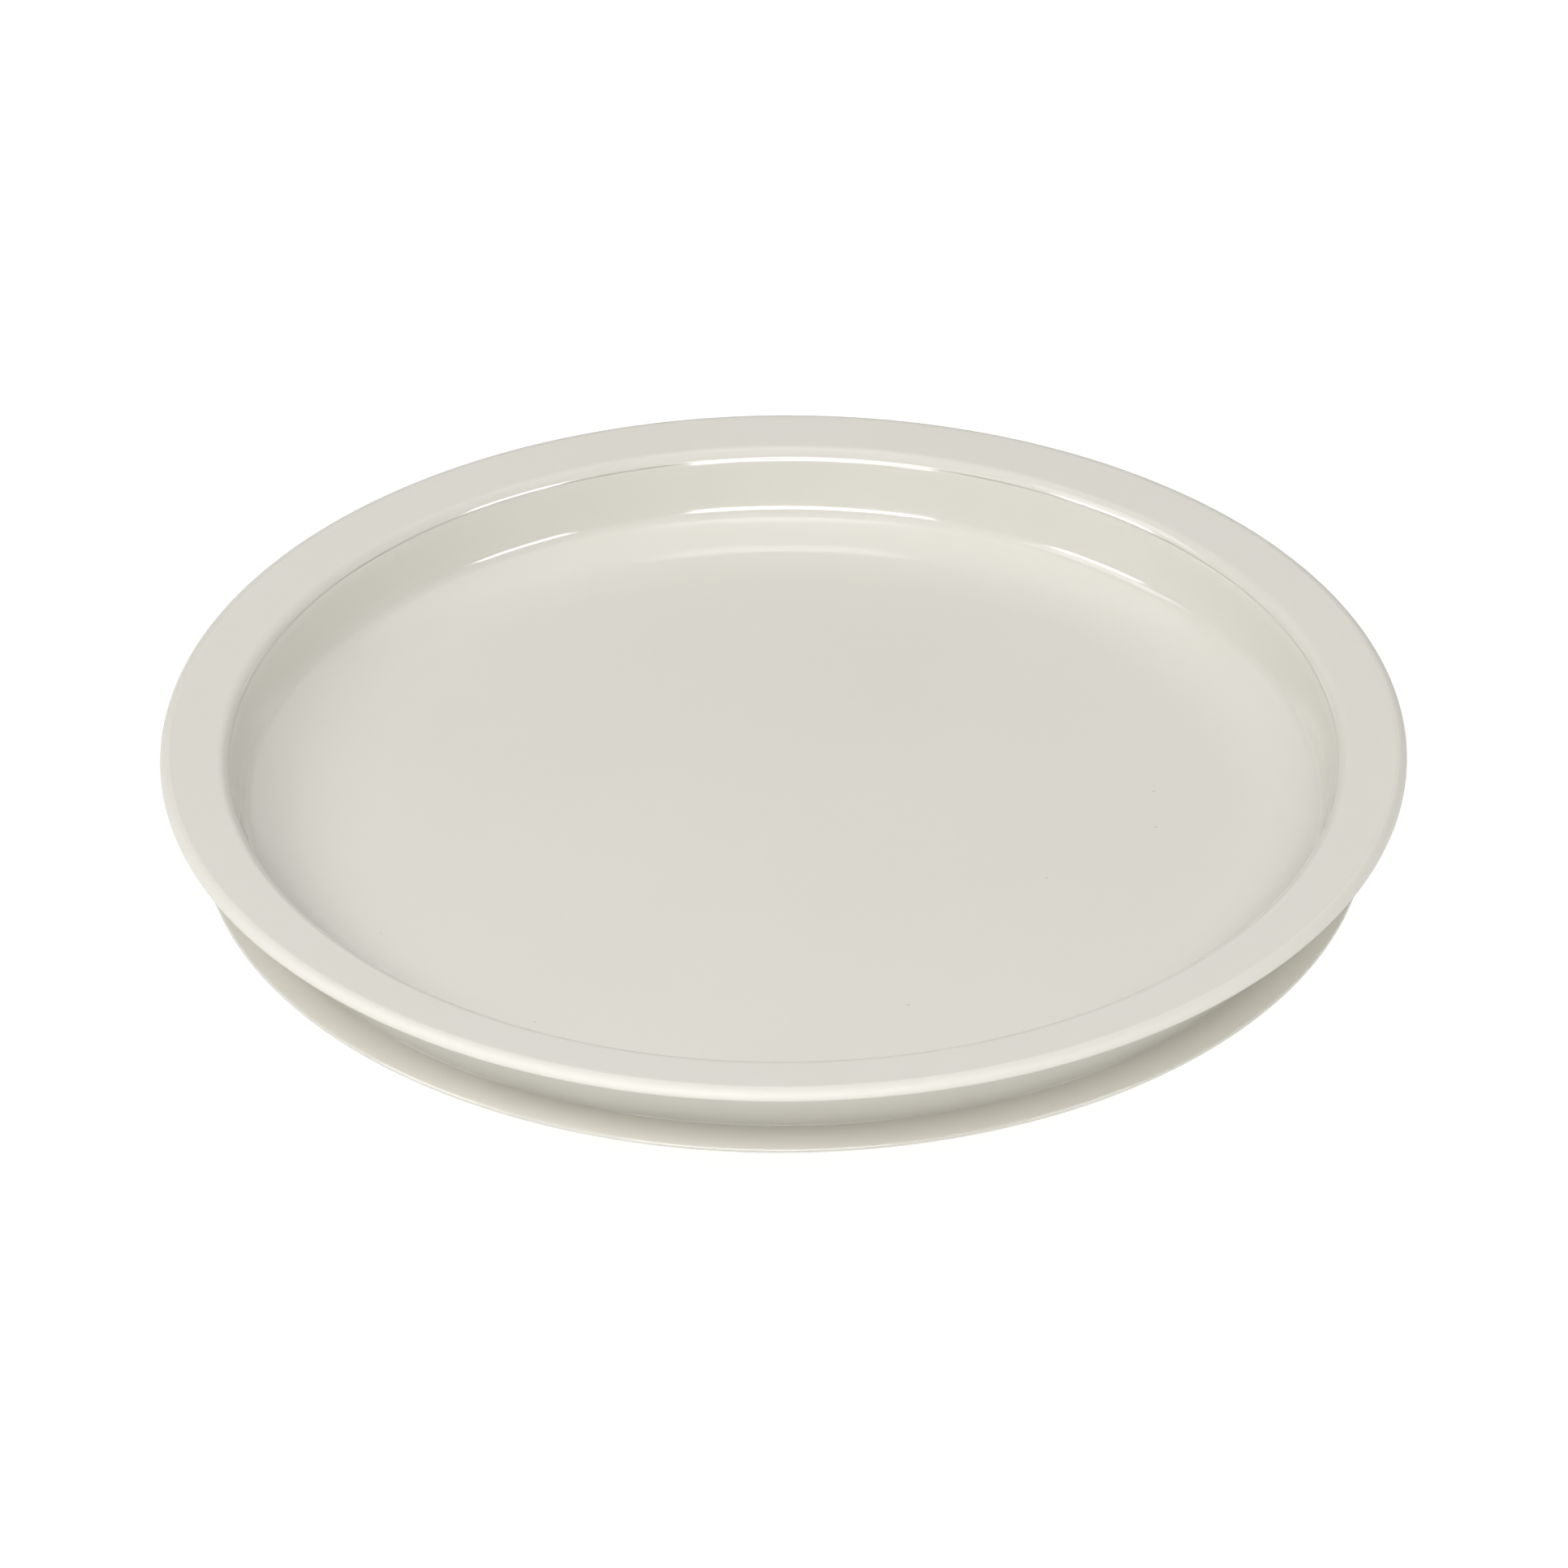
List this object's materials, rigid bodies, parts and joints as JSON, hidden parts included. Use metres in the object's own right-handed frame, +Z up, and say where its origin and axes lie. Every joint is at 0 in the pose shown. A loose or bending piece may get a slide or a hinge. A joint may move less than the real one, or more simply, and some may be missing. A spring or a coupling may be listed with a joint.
{
  "type": "lazy susan turntable",
  "caption": "Round dished serving tray with a broad flat rim that turns freely on a caged ball race over a low ribbed base with rubber feet.",
  "frame": {"origin": "on the table under the pivot, at the centre of the bottom of the feet", "axes": "+Z up along the turning axis, +X through the first foot and the first ball"},
  "size_m": [0.35, 0.35, 0.0455],
  "materials": {
    "bone_gloss_plastic": "glossy moulded bone white",
    "base_plastic": "fine satin moulded bone white",
    "race_steel": "turned and lightly oiled",
    "ball_steel": "polished bearing ball",
    "pivot_steel": "bright zinc plated",
    "cage_nylon": "natural nylon, slightly waxy",
    "bush_acetal": "smooth white acetal",
    "foot_rubber": "soft matt grey"
  },
  "bodies": {
    "base": {"base_plate": "base_plastic", "lower_race": "race_steel", "pivot_bush": "bush_acetal", "hub_cap": "base_plastic", "foot_1": "foot_rubber", "foot_2": "foot_rubber", "foot_3": "foot_rubber", "foot_4": "foot_rubber", "foot_5": "foot_rubber", "foot_6": "foot_rubber"},
    "turntable": {"tray": "bone_gloss_plastic", "upper_race": "race_steel", "pivot_sleeve": "pivot_steel", "pivot_washer": "pivot_steel", "pivot_screw": "pivot_steel"},
    "cage": {"ball_cage": "cage_nylon"},
    "ball_01": {"ball_01": "ball_steel"},
    "ball_02": {"ball_02": "ball_steel"},
    "ball_03": {"ball_03": "ball_steel"},
    "ball_04": {"ball_04": "ball_steel"},
    "ball_05": {"ball_05": "ball_steel"},
    "ball_06": {"ball_06": "ball_steel"},
    "ball_07": {"ball_07": "ball_steel"},
    "ball_08": {"ball_08": "ball_steel"},
    "ball_09": {"ball_09": "ball_steel"},
    "ball_10": {"ball_10": "ball_steel"},
    "ball_11": {"ball_11": "ball_steel"},
    "ball_12": {"ball_12": "ball_steel"},
    "ball_13": {"ball_13": "ball_steel"},
    "ball_14": {"ball_14": "ball_steel"},
    "ball_15": {"ball_15": "ball_steel"},
    "ball_16": {"ball_16": "ball_steel"}
  },
  "joints": [
    {"name": "tray_spin", "type": "hinge", "parent": "base", "child": "turntable", "pos_m": [0, 0, 0.0136], "axis": [0, 0, 1], "continuous": true},
    {"name": "cage_spin", "type": "hinge", "parent": "base", "child": "cage", "pos_m": [0, 0, 0.0136], "axis": [0, 0, 1], "continuous": true},
    {"name": "ball_01_roll", "type": "hinge", "parent": "cage", "child": "ball_01", "pos_m": [0.06, 0, 0.0136], "axis": [1, 0, 0], "continuous": true},
    {"name": "ball_02_roll", "type": "hinge", "parent": "cage", "child": "ball_02", "pos_m": [0.05543, 0.02296, 0.0136], "axis": [0.9239, 0.3827, 0], "continuous": true},
    {"name": "ball_03_roll", "type": "hinge", "parent": "cage", "child": "ball_03", "pos_m": [0.04243, 0.04243, 0.0136], "axis": [0.7071, 0.7071, 0], "continuous": true},
    {"name": "ball_04_roll", "type": "hinge", "parent": "cage", "child": "ball_04", "pos_m": [0.02296, 0.05543, 0.0136], "axis": [0.3827, 0.9239, 0], "continuous": true},
    {"name": "ball_05_roll", "type": "hinge", "parent": "cage", "child": "ball_05", "pos_m": [0, 0.06, 0.0136], "axis": [0, 1, 0], "continuous": true},
    {"name": "ball_06_roll", "type": "hinge", "parent": "cage", "child": "ball_06", "pos_m": [-0.02296, 0.05543, 0.0136], "axis": [-0.3827, 0.9239, 0], "continuous": true},
    {"name": "ball_07_roll", "type": "hinge", "parent": "cage", "child": "ball_07", "pos_m": [-0.04243, 0.04243, 0.0136], "axis": [-0.7071, 0.7071, 0], "continuous": true},
    {"name": "ball_08_roll", "type": "hinge", "parent": "cage", "child": "ball_08", "pos_m": [-0.05543, 0.02296, 0.0136], "axis": [-0.9239, 0.3827, 0], "continuous": true},
    {"name": "ball_09_roll", "type": "hinge", "parent": "cage", "child": "ball_09", "pos_m": [-0.06, 0, 0.0136], "axis": [-1, 0, 0], "continuous": true},
    {"name": "ball_10_roll", "type": "hinge", "parent": "cage", "child": "ball_10", "pos_m": [-0.05543, -0.02296, 0.0136], "axis": [-0.9239, -0.3827, 0], "continuous": true},
    {"name": "ball_11_roll", "type": "hinge", "parent": "cage", "child": "ball_11", "pos_m": [-0.04243, -0.04243, 0.0136], "axis": [-0.7071, -0.7071, 0], "continuous": true},
    {"name": "ball_12_roll", "type": "hinge", "parent": "cage", "child": "ball_12", "pos_m": [-0.02296, -0.05543, 0.0136], "axis": [-0.3827, -0.9239, 0], "continuous": true},
    {"name": "ball_13_roll", "type": "hinge", "parent": "cage", "child": "ball_13", "pos_m": [0, -0.06, 0.0136], "axis": [0, -1, 0], "continuous": true},
    {"name": "ball_14_roll", "type": "hinge", "parent": "cage", "child": "ball_14", "pos_m": [0.02296, -0.05543, 0.0136], "axis": [0.3827, -0.9239, 0], "continuous": true},
    {"name": "ball_15_roll", "type": "hinge", "parent": "cage", "child": "ball_15", "pos_m": [0.04243, -0.04243, 0.0136], "axis": [0.7071, -0.7071, 0], "continuous": true},
    {"name": "ball_16_roll", "type": "hinge", "parent": "cage", "child": "ball_16", "pos_m": [0.05543, -0.02296, 0.0136], "axis": [0.9239, -0.3827, 0], "continuous": true}
  ],
  "couplings": [
    {"joint": "cage_spin", "follows": "tray_spin", "ratio": 0.5},
    {"joint": "ball_01_roll", "follows": "tray_spin", "ratio": -12},
    {"joint": "ball_02_roll", "follows": "tray_spin", "ratio": -12},
    {"joint": "ball_03_roll", "follows": "tray_spin", "ratio": -12},
    {"joint": "ball_04_roll", "follows": "tray_spin", "ratio": -12},
    {"joint": "ball_05_roll", "follows": "tray_spin", "ratio": -12},
    {"joint": "ball_06_roll", "follows": "tray_spin", "ratio": -12},
    {"joint": "ball_07_roll", "follows": "tray_spin", "ratio": -12},
    {"joint": "ball_08_roll", "follows": "tray_spin", "ratio": -12},
    {"joint": "ball_09_roll", "follows": "tray_spin", "ratio": -12},
    {"joint": "ball_10_roll", "follows": "tray_spin", "ratio": -12},
    {"joint": "ball_11_roll", "follows": "tray_spin", "ratio": -12},
    {"joint": "ball_12_roll", "follows": "tray_spin", "ratio": -12},
    {"joint": "ball_13_roll", "follows": "tray_spin", "ratio": -12},
    {"joint": "ball_14_roll", "follows": "tray_spin", "ratio": -12},
    {"joint": "ball_15_roll", "follows": "tray_spin", "ratio": -12},
    {"joint": "ball_16_roll", "follows": "tray_spin", "ratio": -12}
  ]
}
